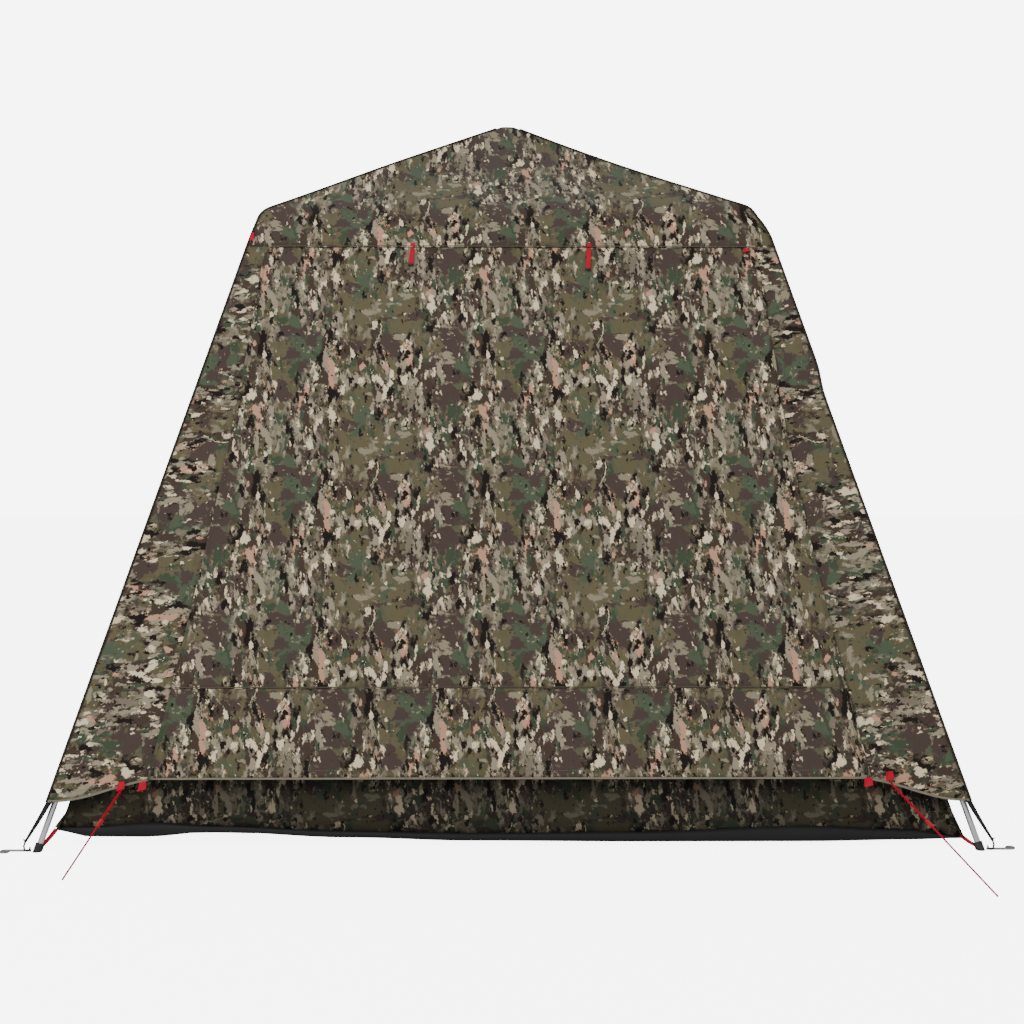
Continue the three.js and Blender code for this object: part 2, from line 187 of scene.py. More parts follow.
# ================= Materials =================
class Nodes:
    """Short calls for building a material's node tree."""

    def __init__(self, name):
        self.material = bpy.data.materials.new(name)
        self.material.use_nodes = True
        self.tree = self.material.node_tree
        self.shader = self.tree.nodes["Principled BSDF"]

    def link(self, value, socket):
        if isinstance(value, bpy.types.NodeSocket):
            self.tree.links.new(value, socket)
        else:
            socket.default_value = value

    def math(self, operation, a, b=0.0, c=None, clamp=False):
        node = self.tree.nodes.new("ShaderNodeMath")
        node.operation = operation
        node.use_clamp = clamp
        self.link(a, node.inputs[0])
        self.link(b, node.inputs[1])
        if c is not None:
            self.link(c, node.inputs[2])
        return node.outputs[0]

    def combine(self, x, y, z):
        node = self.tree.nodes.new("ShaderNodeCombineXYZ")
        for value, socket in zip((x, y, z), node.inputs):
            self.link(value, socket)
        return node.outputs[0]

    def separate(self, vector):
        node = self.tree.nodes.new("ShaderNodeSeparateXYZ")
        self.link(vector, node.inputs[0])
        return node.outputs

    def cloth_place(self):
        """The place on the cloth in metres: x across the streaks of the print and y along them."""
        node = self.tree.nodes.new("ShaderNodeUVMap")
        node.uv_map = "UVMap"
        return self.separate(node.outputs[0])

    def object_place(self):
        return self.tree.nodes.new("ShaderNodeTexCoord").outputs["Object"]

    def noise(self, vector, scale, detail=2.0, rough=0.5, w=None):
        node = self.tree.nodes.new("ShaderNodeTexNoise")
        node.noise_dimensions = "3D" if w is None else "4D"
        self.link(vector, node.inputs["Vector"])
        if w is not None:
            self.link(w, node.inputs["W"])
        node.inputs["Scale"].default_value = scale
        node.inputs["Detail"].default_value = detail
        node.inputs["Roughness"].default_value = rough
        return node.outputs["Fac"]

    def ribs(self, place, pitch):
        return self.math("SINE", self.math("MULTIPLY", place, 2 * math.pi / pitch))

    def step(self, value, edge, width):
        """0 below edge and 1 above it, over a short ramp."""
        return self.math("DIVIDE", self.math("SUBTRACT", value, edge - width / 2), width, clamp=True)

    def blend(self, factor, a, b):
        node = self.tree.nodes.new("ShaderNodeMix")
        node.data_type = "RGBA"
        self.link(factor, node.inputs["Factor"])
        self.link(a, node.inputs["A"])
        self.link(b, node.inputs["B"])
        return node.outputs["Result"]

    def bump(self, height, distance, strength, normal=None):
        node = self.tree.nodes.new("ShaderNodeBump")
        node.inputs["Strength"].default_value = strength
        node.inputs["Distance"].default_value = distance
        self.link(height, node.inputs["Height"])
        if normal is not None:
            self.link(normal, node.inputs["Normal"])
        return node.outputs["Normal"]

    def finish(self, color, rough, normal, metallic=0.0, specular=0.5):
        values = {"Base Color": color, "Roughness": rough, "Normal": normal, "Metallic": metallic,
                  "Specular IOR Level": specular}
        for name, value in values.items():
            self.link(value, self.shader.inputs[name])
        return self.material


def rgb(red, green, blue):
    return (red, green, blue, 1.0)


PRINT_WIDTH = 0.64        # the print repeats after this across its streaks
PRINT_LENGTH = 0.42       # and after this along them
FRONT_ROOF_STRETCH = 0.5  # the front roof panel's print is drawn out down the slope

BASE_CLOTH = rgb(0.132, 0.112, 0.064)
MARK_DARK = rgb(0.012, 0.008, 0.006)
# Each layer of the print: colour, marks per metre, how drawn out they are, how jagged, where a mark starts,
# whether it keeps to the busy parts of the print, and a shift that sets the layers apart.
PRINT_LAYERS = [
    (rgb(0.112, 0.098, 0.052), 7.0, 0.60, 2.0, 0.500, False, 3.1),
    (rgb(0.225, 0.195, 0.135), 10.0, 0.90, 3.5, 0.560, False, 11.3),
    (rgb(0.082, 0.104, 0.064), 10.0, 0.80, 3.5, 0.545, False, 17.7),
    (rgb(0.132, 0.112, 0.060), 11.0, 0.50, 3.5, 0.560, False, 23.5),
    (rgb(0.074, 0.051, 0.043), 8.0, 1.50, 4.0, 0.520, False, 35.9),
    (rgb(0.290, 0.250, 0.170), 9.0, 2.20, 4.0, 0.610, False, 43.1),
    (rgb(0.054, 0.074, 0.042), 18.0, 0.80, 4.0, 0.598, False, 71.3),
    (rgb(0.200, 0.165, 0.120), 32.0, 0.45, 5.0, 0.530, True, 47.3),
    (rgb(0.056, 0.080, 0.048), 30.0, 0.50, 5.0, 0.565, True, 77.3),
    (rgb(0.062, 0.042, 0.030), 40.0, 0.55, 5.0, 0.526, True, 61.9),
    (rgb(0.330, 0.280, 0.200), 40.0, 0.45, 5.0, 0.555, True, 83.7),
    (rgb(0.560, 0.310, 0.210), 28.0, 0.50, 5.0, 0.618, True, 105.5),
    (MARK_DARK, 44.0, 0.42, 5.0, 0.565, True, 97.1),
    (rgb(0.820, 0.680, 0.460), 42.0, 0.45, 5.0, 0.588, True, 113.9),
    (MARK_DARK, 56.0, 0.70, 4.0, 0.635, False, 121.1),
    (rgb(0.880, 0.720, 0.480), 60.0, 0.80, 4.0, 0.660, False, 127.7),
]
MARK_EDGE = 0.018         # how soft the edge of a mark is
TWIG_PALE = rgb(0.600, 0.500, 0.330)
THREAD_PITCH = 0.0011
RIPSTOP_PITCH = 0.006


def camo_cloth(name, painted_shade=1.0, wear=0.05):
    """Printed cloth whose pattern repeats as a roller prints it."""
    n = Nodes(name)
    place = n.cloth_place()
    # Fine noise shakes the print's marks, so their edges are ragged
    ragged = n.math("MULTIPLY_ADD", n.noise(n.combine(place[0], place[1], 0.0), 150.0, 2.0), 0.010, -0.005)
    across = n.math("MULTIPLY", n.math("ADD", place[0], ragged), 2 * math.pi / PRINT_WIDTH)
    along = n.math("MULTIPLY", n.math("SUBTRACT", place[1], ragged), 2 * math.pi / PRINT_LENGTH)

    def rolled(angle, length):
        """A place on the roller: the print is this long round it and meets itself there."""
        radius = length / (2 * math.pi)
        return [n.math("MULTIPLY", n.math(wave, angle), radius) for wave in ("COSINE", "SINE")]

    u, v = rolled(across, PRINT_WIDTH), rolled(along, PRINT_LENGTH)

    def field(size, drawn, jagged, shift):
        vector = n.combine(n.math("ADD", u[0], shift), u[1], n.math("MULTIPLY", v[0], drawn))
        return n.noise(vector, size, jagged, 0.6, n.math("MULTIPLY", v[1], drawn))

    busy = n.step(field(8.0, 0.55, 4.0, 131.3), 0.485, 0.03)
    color = BASE_CLOTH
    for mark, size, drawn, jagged, edge, clustered, shift in PRINT_LAYERS:
        cover = n.step(field(size, drawn, jagged, shift), edge, MARK_EDGE)
        if clustered:
            cover = n.math("MULTIPLY", cover, busy)
        color = n.blend(cover, color, mark)
    # Twigs: thin wandering lines, pale with a dark edge, in a few places of the print
    line = n.math("ABSOLUTE", n.math("SUBTRACT", field(3.0, 0.9, 0.6, 151.7), 0.5))
    patch = n.step(field(9.0, 1.0, 3.0, 171.9), 0.54, 0.02)
    dark = n.math("MULTIPLY", patch, n.math("SUBTRACT", 1.0, n.step(line, 0.0034, 0.001)))
    pale = n.math("MULTIPLY", patch, n.math("SUBTRACT", 1.0, n.step(line, 0.0014, 0.0006)))
    color = n.blend(dark, color, MARK_DARK)
    color = n.blend(pale, color, TWIG_PALE)
    dust = n.noise(n.object_place(), 3.0, 3.0)
    # The tone varies at random with dust and wear. The shade factor darkens the whole cloth evenly: painted
    # shade, used for the inner tent under the fly.
    dust_and_painted_shade = n.math("MULTIPLY_ADD", dust, wear * 4, painted_shade - wear * 2)
    darkened = n.tree.nodes.new("ShaderNodeVectorMath")
    darkened.operation = "SCALE"
    n.link(color, darkened.inputs[0])
    n.link(dust_and_painted_shade, darkened.inputs["Scale"])
    weave = n.math("ADD", n.ribs(place[0], THREAD_PITCH), n.ribs(place[1], THREAD_PITCH))
    crumple = n.noise(n.object_place(), 26.0, 3.0, 0.55)
    normal = n.bump(crumple, 0.006, 0.45)
    normal = n.bump(weave, 0.00012, 0.5, normal)
    rough = n.math("MULTIPLY_ADD", dust, 0.12, 0.60)
    n.shader.inputs["Sheen Weight"].default_value = 0.02
    return n.finish(darkened.outputs[0], rough, normal, specular=0.14)


def woven_tape(name, light, dark, rib=0.0016):
    """Narrow woven tape or cord, with ribs, a little fading and fine thread."""
    n = Nodes(name)
    place = n.object_place()
    parts = n.separate(place)
    diagonal = n.math("ADD", parts[0], n.math("ADD", parts[1], parts[2]))
    ribs = n.ribs(diagonal, rib)
    fade = n.noise(place, 60.0, 3.0)
    factor = n.math("MULTIPLY_ADD", ribs, 0.18, n.math("MULTIPLY", fade, 0.9), clamp=True)
    normal = n.bump(ribs, 0.0003, 0.6)
    return n.finish(n.blend(factor, dark, light), 0.75, normal, specular=0.15)


def steel(name, light, dark, rough):
    """Drawn tube: bright metal with faint lengthwise scratches and dull patches."""
    n = Nodes(name)
    place = n.object_place()
    patches = n.noise(place, 14.0, 3.0)
    scratches = n.noise(place, 420.0, 2.0)
    color = n.blend(n.math("MULTIPLY_ADD", scratches, 0.4, patches, clamp=True), dark, light)
    roughness = n.math("MULTIPLY_ADD", patches, 0.22, rough)
    return n.finish(color, roughness, n.bump(scratches, 0.0002, 0.25), metallic=1.0)


def moulded(name, base, edge):
    """Moulded nylon: a fine grain, with dust and rubbed places."""
    n = Nodes(name)
    place = n.object_place()
    grain = n.noise(place, 900.0, 2.0)
    rubbed = n.step(n.noise(place, 40.0, 4.0), 0.62, 0.2)
    roughness = n.math("MULTIPLY_ADD", grain, 0.25, 0.45)
    return n.finish(n.blend(rubbed, base, edge), roughness, n.bump(grain, 0.0002, 0.35))


def coated_sheet(name, base, dusty):
    """Coated groundsheet: dark, faintly glossy, with a ripstop grid and dust in the creases."""
    n = Nodes(name)
    place = n.cloth_place()
    threads = [n.step(n.ribs(place[axis], RIPSTOP_PITCH), 0.93, 0.1) for axis in (0, 1)]
    grid = n.math("MAXIMUM", *threads)
    dust = n.noise(n.object_place(), 7.0, 5.0, 0.6)
    creases = n.noise(n.object_place(), 18.0, 3.0)
    normal = n.bump(creases, 0.006, 0.5)
    normal = n.bump(grid, 0.0002, 0.5, normal)
    rough = n.math("MULTIPLY_ADD", dust, 0.3, 0.4)
    color = n.blend(n.math("MULTIPLY", dust, 0.5), base, dusty)
    return n.finish(color, rough, normal, specular=0.2)


CAMO = camo_cloth("camo_fly")
# The inner tent's cloth is the fly's print darkened to 0.27: painted shade, standing for the shade the fly
# casts on it.
CAMO_INNER_PAINTED_SHADE = camo_cloth("camo_inner_painted_shade", 0.27, 0.02)
SEAM_PALE = woven_tape("pale_seam_tape", rgb(0.30, 0.27, 0.20), rgb(0.19, 0.17, 0.12))
SEAM_DARK = woven_tape("dark_thread", rgb(0.130, 0.112, 0.074), rgb(0.090, 0.076, 0.050))
SEAM_TAN = woven_tape("tan_thread", rgb(0.16, 0.135, 0.09), rgb(0.10, 0.085, 0.055))
BINDING = woven_tape("dark_binding", rgb(0.060, 0.050, 0.036), rgb(0.028, 0.023, 0.018))
RED_TAPE = woven_tape("red_tape", rgb(0.680, 0.012, 0.042), rgb(0.420, 0.008, 0.026))
RED_CORD = woven_tape("red_cord", rgb(0.560, 0.010, 0.034), rgb(0.340, 0.006, 0.020), 0.0022)
ELASTIC = woven_tape("black_elastic", rgb(0.022, 0.021, 0.023), rgb(0.008, 0.008, 0.009), 0.0024)
ZIP_TAPE = woven_tape("zip_tape", rgb(0.040, 0.038, 0.034), rgb(0.016, 0.015, 0.014), 0.003)
TUBE = steel("tube_steel", rgb(0.80, 0.81, 0.82), rgb(0.52, 0.53, 0.55), 0.20)
PIN = steel("pin_steel", rgb(0.62, 0.62, 0.62), rgb(0.40, 0.40, 0.41), 0.28)
PEG = steel("peg_steel", rgb(0.30, 0.30, 0.31), rgb(0.12, 0.12, 0.13), 0.32)
BLACK_NYLON = moulded("black_nylon", rgb(0.010, 0.010, 0.011), rgb(0.035, 0.035, 0.038))
RED_NYLON = moulded("red_nylon", rgb(0.480, 0.006, 0.018), rgb(0.600, 0.030, 0.040))
GROUNDSHEET = coated_sheet("black_groundsheet", rgb(0.010, 0.010, 0.011), rgb(0.026, 0.025, 0.024))


# ================= Mesh helpers =================
def add_mesh(name, vertices, faces, material, uvs=None, flat=False):
    mesh = bpy.data.meshes.new(name)
    mesh.from_pydata([tuple(v) for v in vertices], [], faces)
    mesh.materials.append(material)
    if uvs is not None:
        layer = mesh.uv_layers.new(name="UVMap")
        for face, face_uvs in zip(mesh.polygons, uvs):
            for loop, uv in zip(face.loop_indices, face_uvs):
                layer.data[loop].uv = uv
    for face in mesh.polygons:
        face.use_smooth = not flat
    return new_object(name, mesh)


def thicken(piece, thickness):
    """Gives a cloth piece its thickness, as real mesh."""
    modifier = piece.modifiers.new("thickness", "SOLIDIFY")
    modifier.thickness = thickness
    modifier.offset = 0
    bpy.context.view_layer.update()
    evaluated = piece.evaluated_get(bpy.context.evaluated_depsgraph_get())
    mesh = bpy.data.meshes.new_from_object(evaluated)
    piece.modifiers.clear()
    old = piece.data
    piece.data = mesh
    mesh.name = old.name
    bpy.data.meshes.remove(old)
    return piece


ROWS_DOWN = ((0, 0), (0, 1), (1, 1), (1, 0))   # a cell's corners, for a sheet whose rows run down
ROWS_UP = ((0, 0), (1, 0), (1, 1), (0, 1))     # and for one whose rows run up


def woven(columns, rows, place, corners, closed=False, start=0, left_out=lambda i, j: False):
    """The faces of a sheet's cells, with the place of each corner on the print."""
    wide = columns if closed else columns + 1
    faces, uvs = [], []
    for j in range(rows):
        for i in range(columns):
            if not left_out(i, j):
                faces.append([start + (j + b) * wide + (i + a) % wide for a, b in corners])
                uvs.append([place(i, j, a, b) for a, b in corners])
    return faces, uvs


def ahead_at(points, k):
    """The direction of a line of points at one of them."""
    return (Vector(points[min(k + 1, len(points) - 1)]) - Vector(points[max(k - 1, 0)])).normalized()


def ribbon(name, points, across, width, thickness, material):
    """A flat tape along points; across(k) is the direction of its width there."""
    vertices, runs = [], []
    run = 0.0
    for k, point in enumerate(points):
        if k:
            run += (Vector(points[k]) - Vector(points[k - 1])).length
        runs.append(run)
        side = Vector(across(k)).normalized()
        face = ahead_at(points, k).cross(side).normalized()
        half = width(k) / 2 if callable(width) else width / 2
        for a, b in ((-1, -1), (1, -1), (1, 1), (-1, 1)):
            vertices.append(Vector(point) + side * (a * half) + face * (b * thickness / 2))

    def place(e, k, a, b):
        return ((e + a) * 0.01, runs[k + b])

    faces, uvs = woven(4, len(points) - 1, place, ROWS_UP, closed=True)
    last = 4 * (len(points) - 1)
    faces += [[3, 2, 1, 0], [last, last + 1, last + 2, last + 3]]
    uvs += [[(0, 0)] * 4, [(0, 0)] * 4]
    return add_mesh(name, vertices, faces, material, uvs, flat=True)


def tube(name, points, radius, material, sides=8):
    """A round cord or rod along points."""
    points = [Vector(p) for p in points]
    vertices = []
    side = None
    for k, point in enumerate(points):
        ahead = ahead_at(points, k)
        if side is None:
            side = ahead.orthogonal().normalized()
        side = (side - ahead * side.dot(ahead)).normalized()
        up = ahead.cross(side)
        for e in range(sides):
            turn = 2 * math.pi * e / sides
            vertices.append(point + side * (radius * math.cos(turn)) + up * (radius * math.sin(turn)))
    faces = woven(sides, len(points) - 1, lambda *cell: (0, 0), ROWS_UP, closed=True)[0]
    last = sides * (len(points) - 1)
    faces.append(list(range(sides))[::-1])
    faces.append([last + e for e in range(sides)])
    return add_mesh(name, vertices, faces, material)


def join(name, pieces):
    """Several meshes as one piece."""
    bpy.ops.object.select_all(action="DESELECT")
    for piece in pieces:
        piece.select_set(True)
    bpy.context.view_layer.objects.active = pieces[0]
    bpy.ops.object.join()
    pieces[0].name = name
    return pieces[0]


def drop_with_fold(piece, body="ground_set"):
    """Attaches the cloth to a body of the frame, with a mesh of its own."""
    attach(piece, body)
    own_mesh(piece)
    return piece


# ================= The fly's shape =================
DOOR_BOW = 0.02           # how far the door's side seams bow in
WALL_BOW = 0.018          # how far the middle of a wall bows in
ROOF_SAG = 0.022          # how far the middle of a roof panel sags
DOOR_FOLD, WALL_FOLD, GUSSET_FOLD = 0.0045, 0.008, 0.014   # the height of the folds in each


def wall_half(z, base=FLY_BASE):
    return base - SLOPE * z


def crease_half(z):
    """Half the door's width at a height: the line of its side seams, bowed in a little."""
    share = (z - DOOR_HEM_Z) / (EAVE_Z - DOOR_HEM_Z)
    return mix(CREASE_FOOT, CREASE_TOP, share) - DOOR_BOW * math.sin(math.pi * min(max(share, 0), 1))


def cloth_run(z):
    return ROOF_RUN + (SHOULDER_Z - z) * WALL_STRETCH


def wrinkle(side, x, run, half):
    """How far the cloth stands out: in long soft folds, flat at the poles and at the eave seam."""
    seed = 7.0 * SIDES.index(side)
    edge = smooth((half - abs(x)) / 0.10)
    z = SHOULDER_Z - (run - ROOF_RUN) / WALL_STRETCH
    in_gusset = smooth((abs(x) - crease_half(z)) / 0.05) if side == "front" and z < EAVE_Z else 0.0
    folds = noise.noise(Vector((x * 15, run * 1.7, seed)))
    ripples = noise.noise(Vector((x * 6, run * 5, seed + 20)))
    small = noise.noise(Vector((x * 22, run * 18, seed + 40)))
    size = mix(DOOR_FOLD if side == "front" else WALL_FOLD, GUSSET_FOLD, in_gusset)
    shoulder = math.exp(-((run - ROOF_RUN) / 0.16) ** 2)
    pull = 0.004 * shoulder * math.sin(abs(x) * 34 - run * 12)
    off_seam = smooth(abs(z - EAVE_Z) / 0.05)
    return edge * off_seam * (size * (0.55 * folds + 0.35 * ripples + 0.10 * small) + pull)


def settled(point):
    """The front right corner isn't quite straight: it stands out below its elbow and is rounder at it."""
    half = wall_half(min(point.z, SHOULDER_Z))
    near = smooth(1 - math.hypot(point.x - half, point.y + half) / 0.25)
    below = smooth((point.z - 1.21) / 0.10) * smooth((1.75 - point.z) / 0.07)
    at_elbow = smooth((point.z - 1.72) / 0.04)
    return point + Vector((near * (0.012 * below - 0.009 * at_elbow), 0, 0))


def wall_point(side, x, z, lift=0.0):
    """A point on the fly's wall: x along the wall and z its height."""
    half = wall_half(z)
    t = x / half
    share = min(max((z - 0.15) / (EAVE_Z - 0.15), 0), 1)
    bow = WALL_BOW * math.sin(math.pi * share) * max(1 - t * t, 0)
    out = wrinkle(side, x, cloth_run(z), half) + lift
    lean = 1 / WALL_STRETCH
    point = Vector((x, -(half - bow) - out * lean, z + out * SLOPE * lean))
    return settled(TURN[side] @ point)


# How far the cloth hangs below a straight line along each pole, and how far each shoulder sits low:
# front right, back right, back left, front left
HIP_SAG = (0.012, 0.006, 0.006, 0.001)
SHOULDER_LOW = (0.001, 0.003, 0.003, 0.010)


def hip_drop(side, t, run):
    corner = SIDES.index(side)
    right, left = (1 + t) / 2, (1 - t) / 2
    sag = right * HIP_SAG[corner] + left * HIP_SAG[corner - 1]
    low = right * SHOULDER_LOW[corner] + left * SHOULDER_LOW[corner - 1]
    share = min(run / ROOF_RUN, 1)
    fade = smooth((EAVE_RUN - run) / (EAVE_RUN - ROOF_RUN))
    return sag * math.sin(math.pi * share) + low * smooth((share - 0.4) / 0.6) * fade


def cover_point(side, t, run, lift=0.0):
    """A point on the roof or a wall's top: t is -1 to 1 between the poles, run is the cloth from the top."""
    def profile(r):
        if r < ROOF_RUN:
            share = r / ROOF_RUN
            return SHOULDER_HALF * share, mix(ROOF_TOP, SHOULDER_Z, share)
        z = SHOULDER_Z - (r - ROOF_RUN) / WALL_STRETCH
        return wall_half(z), z

    soft = 0.027 + 0.073 * (1 - t * t)
    if abs(run - ROOF_RUN) < soft:
        a, b = profile(ROOF_RUN - soft), profile(ROOF_RUN + soft)
        k = (run - ROOF_RUN + soft) / (2 * soft)
        corner = (SHOULDER_HALF, SHOULDER_Z)
        half, z = (
            (1 - k) ** 2 * a[i] + 2 * k * (1 - k) * corner[i] + k * k * b[i] for i in (0, 1)
        )
    else:
        half, z = profile(run)
    top = 0.024
    if half < top:
        z = ROOF_TOP - ROOF_SLOPE * top + ROOF_SLOPE * (top * top - half * half) / (2 * top)
    x = t * half
    sag = ROOF_SAG * math.sin(math.pi * min(run / ROOF_RUN, 1)) * (1 - t * t) + hip_drop(side, t, run)
    out = wrinkle(side, x, run, half) * smooth((half - top) / 0.1) + lift
    down = smooth((run - ROOF_RUN + soft) / (2 * soft))
    slope = mix(math.atan2(1, ROOF_SLOPE), math.atan(SLOPE), down)
    point = Vector((x, -half - out * math.cos(slope), z - sag + out * math.sin(slope)))
    return settled(TURN[side] @ point)


def hem_height(side, x):
    half = wall_half(0.15)
    if side == "front":
        return mix(DOOR_HEM_Z, HEM_CORNER_Z, smooth((abs(x) - CREASE_FOOT + 0.02) / (half - CREASE_FOOT)))
    return mix(0.165, HEM_CORNER_Z, smooth((abs(x) / half - 0.55) / 0.45))


# ---- The cover: roof and the band down to the eave seam, all round ----
def make_cover():
    rows = 46
    per_side = 44
    columns = 4 * per_side

    def run_at(j):
        return EAVE_RUN * (0.002 + 0.998 * j / rows)

    def across(i):
        return 2 * (i % per_side) / per_side - 1

    def cloth(i, j, a, b):
        side, t, run = SIDES[i // per_side], across(i) + a * 2 / per_side, run_at(j + b)
        half = SHOULDER_HALF * min(run / ROOF_RUN, 1) + max(run - ROOF_RUN, 0) * SLOPE
        if side == "front" and run < ROOF_RUN:
            run = mix(run, ROOF_RUN, FRONT_ROOF_STRETCH)
        return (t * half, -run)

    vertices = []
    for j in range(rows + 1):
        for i in range(columns):
            vertices.append(cover_point(SIDES[i // per_side], across(i), run_at(j)))
    faces, uvs = woven(columns, rows, cloth, ROWS_DOWN, closed=True)
    faces.append(list(range(columns))[::-1])
    uvs.append([(0, 0)] * columns)
    piece = thicken(add_mesh("fly_cover", vertices, faces, CAMO, uvs), CLOTH)
    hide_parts("fly_eave_band", *[f"fly_roof_{side}" for side in SIDES])
    return drop_with_fold(piece)


# ---- The walls: from one side seam of the door round the back to the other ----
GUSSET_COLUMNS = 20
WALL_COLUMNS = 60
GUSSET_SHIFT = 0.11       # moves the gussets' print along, so that it differs from the walls'


def make_walls():
    rows = 72
    last_gusset = GUSSET_COLUMNS + 3 * WALL_COLUMNS
    stations = [("front", 1, k / GUSSET_COLUMNS) for k in range(GUSSET_COLUMNS)]
    for side in ("right", "back", "left"):
        stations += [(side, 0, 2 * k / WALL_COLUMNS - 1) for k in range(WALL_COLUMNS)]
    stations += [("front", -1, 1 - k / GUSSET_COLUMNS) for k in range(GUSSET_COLUMNS + 1)]

    def x_at(station, z):
        gusset, share = station[1:]
        if gusset:
            return gusset * mix(crease_half(z), wall_half(z), share)
        return share * wall_half(z)

    def z_at(station, j):
        hem = hem_height(station[0], x_at(station, 0.15))
        return mix(EAVE_Z, hem, j / rows)

    def point(i, j):
        z = z_at(stations[i], j)
        return wall_point(stations[i][0], x_at(stations[i], z), z)

    def cloth(i, j, a, b):
        station = stations[i + a]
        if a and i < last_gusset and station[0] != stations[i][0]:
            station = (stations[i][0], stations[i][1], 1.0)
        z = z_at(station, j + b)
        x, run = x_at(station, z), cloth_run(z)
        turned = i < GUSSET_COLUMNS or i >= last_gusset
        return (run + GUSSET_SHIFT, x) if turned else (x, -run)

    vertices = [point(i, j) for j in range(rows + 1) for i in range(len(stations))]
    faces, uvs = woven(len(stations) - 1, rows, cloth, ROWS_DOWN)
    piece = thicken(add_mesh("fly_walls", vertices, faces, CAMO, uvs), CLOTH)
    walls = ("fly_wall_right", "fly_wall_back", "fly_wall_left")
    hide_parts(*walls, "fly_gusset_left", "fly_gusset_right")
    return drop_with_fold(piece)


# ---- The door panel, its sewn lower band and its edges ----
DOOR_LIFT = 0.004
DOOR_OVERLAP = 0.012
DOOR_TOP_GAP = 0.002
DOOR_SHIFT = 0.13         # moves the door's print across
BAND_SHIFT = (0.31, 0.19)  # and the sewn lower band's print, so that the two don't run on


def off_eave(z):
    """0 at the eave seam, where the door lies flat and turns, and 1 a little below it."""
    return smooth((EAVE_Z - z) / 0.03)


def door_half(z):
    return crease_half(z) + DOOR_OVERLAP * off_eave(z)


def make_door():
    upper, lower, columns = 64, 14, 110
    heights = [mix(EAVE_Z - DOOR_TOP_GAP, SEAM_Z, j / upper) for j in range(upper)]
    heights += [mix(SEAM_Z, DOOR_HEM_Z, j / lower) for j in range(lower + 1)]

    def point(i, j):
        z = heights[j]
        x = mix(-door_half(z), door_half(z), i / columns)
        tuck = 0.003 * math.exp(-(((z - SEAM_Z) / 0.008) ** 2))
        edge = 1 - smooth((door_half(z) - abs(x)) / 0.03)
        return wall_point("front", x, z, (DOOR_LIFT + 0.003 * edge - tuck) * off_eave(z))

    def cloth(i, j, a, b):
        z = heights[j + b]
        x = mix(-door_half(z), door_half(z), (i + a) / columns)
        shift = (0.0, 0.0) if j < upper else BAND_SHIFT
        return (x + DOOR_SHIFT + shift[0], -cloth_run(z) + shift[1])

    vertices = [point(i, j) for j in range(len(heights)) for i in range(columns + 1)]
    faces, uvs = woven(columns, len(heights) - 1, cloth, ROWS_DOWN)
    piece = thicken(add_mesh("fly_door_panel", vertices, faces, CAMO, uvs), CLOTH)
    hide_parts("fly_door")
    return drop_with_fold(piece, "door")


def wall_ribbon(name, places, width, lift, material, body="ground_set", side="front", thickness=0.0012):
    """A tape on a wall, along places (x, z); lift is how far it stands out, or lift(z) says so."""
    points = [wall_point(side, x, z, lift(z) if callable(lift) else lift) for x, z in places]

    def across(k):
        along, up = ahead_at(places, k)
        return TURN[side] @ Vector((-up, along * SLOPE, along))

    return drop_with_fold(ribbon(name, points, across, width, thickness, material), body)


ON_WALL = 0.0012          # how far tapes and stitches stand out on a wall
ON_DOOR = 0.0052          # and on the door, which lies over it
STITCH = 0.004
STITCH_STEP = 0.007
THREAD = 0.0006           # half a stitch's width, and its height


def stitches(name, places, lift, material, body="ground_set", side="front"):
    """A row of stitches on a wall, each a short raised dash."""
    vertices, faces = [], []
    carried = 0.0
    for (x0, z0), (x1, z1) in zip(places, places[1:]):
        reach = math.hypot(x1 - x0, (z1 - z0) * WALL_STRETCH)
        at = carried
        while at < reach:
            ends = []
            for s in (at, min(at + STITCH, reach)):
                ends.append((mix(x0, x1, s / reach), mix(z0, z1, s / reach)))
            dx, dz = (x1 - x0) / reach, (z1 - z0) / reach
            start = len(vertices)
            for x, z in ends:
                for half in (-THREAD, THREAD):
                    vertices.append(wall_point(side, x - dz * half, z + dx * half, lift))
                vertices.append(wall_point(side, x, z, lift + THREAD))
            for corners in ((0, 3, 5, 2), (2, 5, 4, 1), (1, 4, 3, 0), (0, 2, 1), (3, 4, 5)):
                faces.append([start + corner for corner in corners])
            at += STITCH_STEP
        carried = at - reach
    return drop_with_fold(add_mesh(name, vertices, faces, material, flat=True), body)


def line(start, end, count=60):
    return [(mix(start[0], end[0], k / count), mix(start[1], end[1], k / count)) for k in range(count + 1)]


def level(half, z):
    return line((-half, z), (half, z))


def make_fly_seams():
    top = CREASE_TOP - 0.005
    places = level(top, EAVE_Z + 0.0032)
    piping = wall_ribbon("eave_piping", places, 0.0025, 0.0006, SEAM_DARK, thickness=0.0006)
    stitches("eave_stitches", level(top, EAVE_Z + 0.012), ON_WALL, SEAM_TAN)
    edge = door_half(SEAM_Z) - 0.01
    wall_ribbon("door_seam_fold", level(edge, SEAM_Z + 0.003), 0.0025, 0.0050, SEAM_DARK, "door")
    stitches("door_seam_stitches", level(edge, SEAM_Z - 0.009), ON_DOOR, SEAM_TAN, "door")
    foot = door_half(DOOR_HEM_Z) - 0.002
    wall_ribbon("door_hem", level(foot, DOOR_HEM_Z + 0.0025), 0.005, ON_DOOR, SEAM_PALE, "door")
    stitches("door_hem_stitches", level(foot, DOOR_HEM_Z + 0.022), ON_DOOR, SEAM_PALE, "door")
    heights = [mix(EAVE_Z - 0.03, DOOR_HEM_Z - 0.003, k / 60) for k in range(61)]
    for name, sign in (("left", -1), ("right", 1)):
        places = [(sign * (door_half(z) - 0.008), z) for z in heights]
        wall_ribbon(f"door_zip_{name}", places, 0.010, 0.0018, ZIP_TAPE)
        stitches(f"door_edge_stitches_{name}", places, 0.0080, SEAM_TAN, "door")
        places = [(sign * (door_half(z) + 0.022), z) for z in heights]
        stitches(f"gusset_stitches_{name}", places, ON_WALL, SEAM_TAN)


